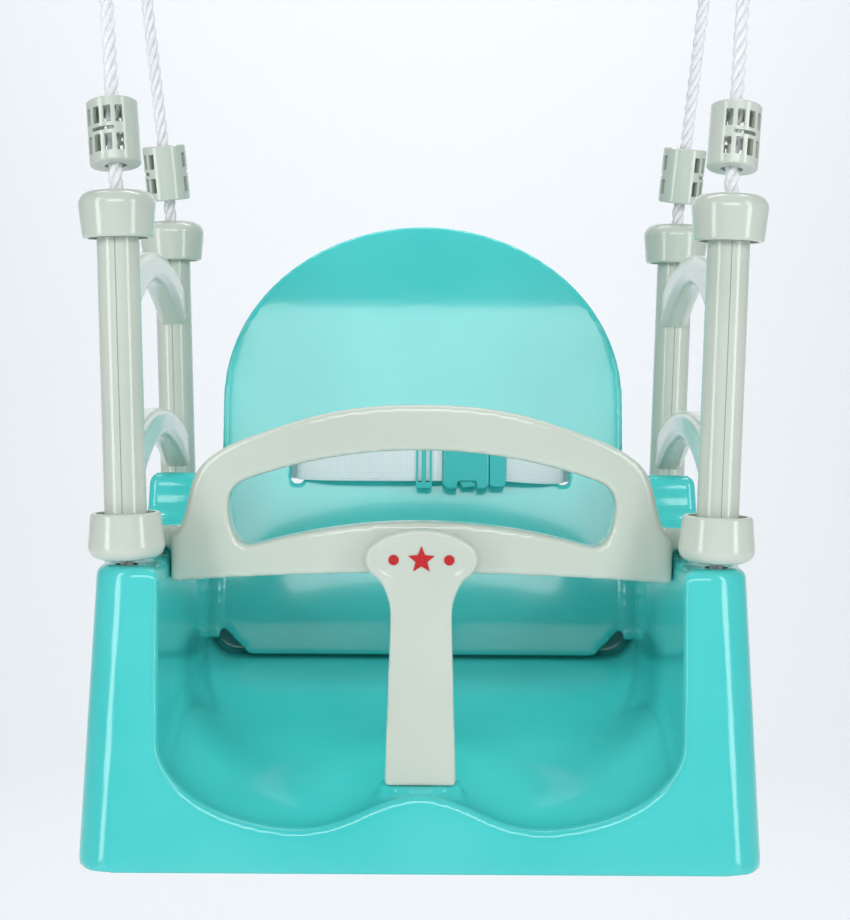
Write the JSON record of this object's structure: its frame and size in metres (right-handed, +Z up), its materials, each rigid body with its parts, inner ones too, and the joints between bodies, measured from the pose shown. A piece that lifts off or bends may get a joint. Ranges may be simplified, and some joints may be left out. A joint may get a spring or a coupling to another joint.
{
  "type": "toddler bucket swing",
  "caption": "Moulded toddler swing seat with a high backrest, lift-out front guard with a stem, arched side rails, waist belt, slotted rope adjusters and ropes that end in hanging rings.",
  "frame": {"origin": "under the middle of the object at the seat's lowest edge", "axes": "+Z up, the child faces -Y, +X to the right seen from the front"},
  "size_m": [0.4914, 0.3048, 0.9339],
  "materials": {
    "turquoise_plastic": "gloss moulded",
    "turquoise_clip": "satin moulded",
    "grey_plastic": "gloss moulded",
    "white_rope": "twisted polypropylene",
    "white_webbing": "woven webbing",
    "zinc_steel": "zinc plated",
    "red_print": "printed"
  },
  "bodies": {
    "hanging_rings": {"hanging_ring_right": "zinc_steel", "hanging_ring_left": "zinc_steel"},
    "seat": {"seat_shell": "turquoise_plastic", "rail_outer_right": "grey_plastic", "rail_outer_left": "grey_plastic", "rail_inner_right": "grey_plastic", "rail_inner_left": "grey_plastic", "cap_lower_front_right": "grey_plastic", "cap_lower_front_left": "grey_plastic", "cap_lower_rear_right": "grey_plastic", "cap_lower_rear_left": "grey_plastic", "cap_upper_front_right": "grey_plastic", "cap_upper_front_left": "grey_plastic", "cap_upper_rear_right": "grey_plastic", "cap_upper_rear_left": "grey_plastic", "rope_right": "white_rope", "rope_left": "white_rope", "rope_washers": "zinc_steel", "rope_knot_front_right": "white_rope", "rope_knot_front_left": "white_rope", "rope_knot_rear_right": "white_rope", "rope_knot_rear_left": "white_rope"},
    "guard": {"guard_frame": "grey_plastic", "guard_stem": "grey_plastic", "stem_screws": "zinc_steel", "head_motif": "red_print"},
    "backrest": {"backrest_panel": "turquoise_plastic", "belt_left": "white_webbing", "belt_right": "white_webbing", "belt_stops": "turquoise_clip", "buckle_socket": "turquoise_clip", "buckle_plug": "turquoise_clip"},
    "slide": {"strap_slide": "turquoise_clip"},
    "upper_prong": {"prong_upper": "turquoise_clip"},
    "lower_prong": {"prong_lower": "turquoise_clip"},
    "adjuster_front_right": {"adjuster_front_right_front_half": "grey_plastic", "adjuster_front_right_back_half": "grey_plastic"},
    "adjuster_front_left": {"adjuster_front_left_front_half": "grey_plastic", "adjuster_front_left_back_half": "grey_plastic"},
    "adjuster_rear_right": {"adjuster_rear_right_front_half": "grey_plastic", "adjuster_rear_right_back_half": "grey_plastic"},
    "adjuster_rear_left": {"adjuster_rear_left_front_half": "grey_plastic", "adjuster_rear_left_back_half": "grey_plastic"}
  },
  "joints": [
    {"name": "swing", "type": "hinge", "parent": "hanging_rings", "child": "seat", "pos_m": [0, -0.0025, 0.89], "axis": [1, 0, 0], "range_deg": [-40, 40]},
    {"name": "guard_lift", "type": "slide", "parent": "seat", "child": "guard", "axis": [0, 0, 1], "range_m": [0, 0.03]},
    {"name": "backrest_lift", "type": "slide", "parent": "seat", "child": "backrest", "axis": [0, 0.1822, 0.9833], "range_m": [0, 0.03]},
    {"name": "adjuster_front_right_slide", "type": "slide", "parent": "seat", "child": "adjuster_front_right", "axis": [0.0842, 0.2276, 0.9701], "range_m": [-0.004, 0.06]},
    {"name": "adjuster_front_left_slide", "type": "slide", "parent": "seat", "child": "adjuster_front_left", "axis": [-0.0842, 0.2276, 0.9701], "range_m": [-0.004, 0.06]},
    {"name": "adjuster_rear_right_slide", "type": "slide", "parent": "seat", "child": "adjuster_rear_right", "axis": [0.0848, -0.1962, 0.9769], "range_m": [-0.004, 0.06]},
    {"name": "adjuster_rear_left_slide", "type": "slide", "parent": "seat", "child": "adjuster_rear_left", "axis": [-0.0848, -0.1962, 0.9769], "range_m": [-0.004, 0.06]},
    {"name": "strap_slide_move", "type": "slide", "parent": "backrest", "child": "slide", "axis": [-1, 0, 0], "range_m": [0, 0.018]},
    {"name": "prong_press", "type": "slide", "parent": "backrest", "child": "upper_prong", "axis": [0, 0, -1], "range_m": [0, 0.002], "stiffness_N_per_m": 400},
    {"name": "prong_follow", "type": "slide", "parent": "backrest", "child": "lower_prong", "axis": [0, 0, 1], "range_m": [0, 0.002], "stiffness_N_per_m": 400}
  ],
  "couplings": [
    {"joint": "prong_follow", "follows": "prong_press", "ratio": 1}
  ]
}
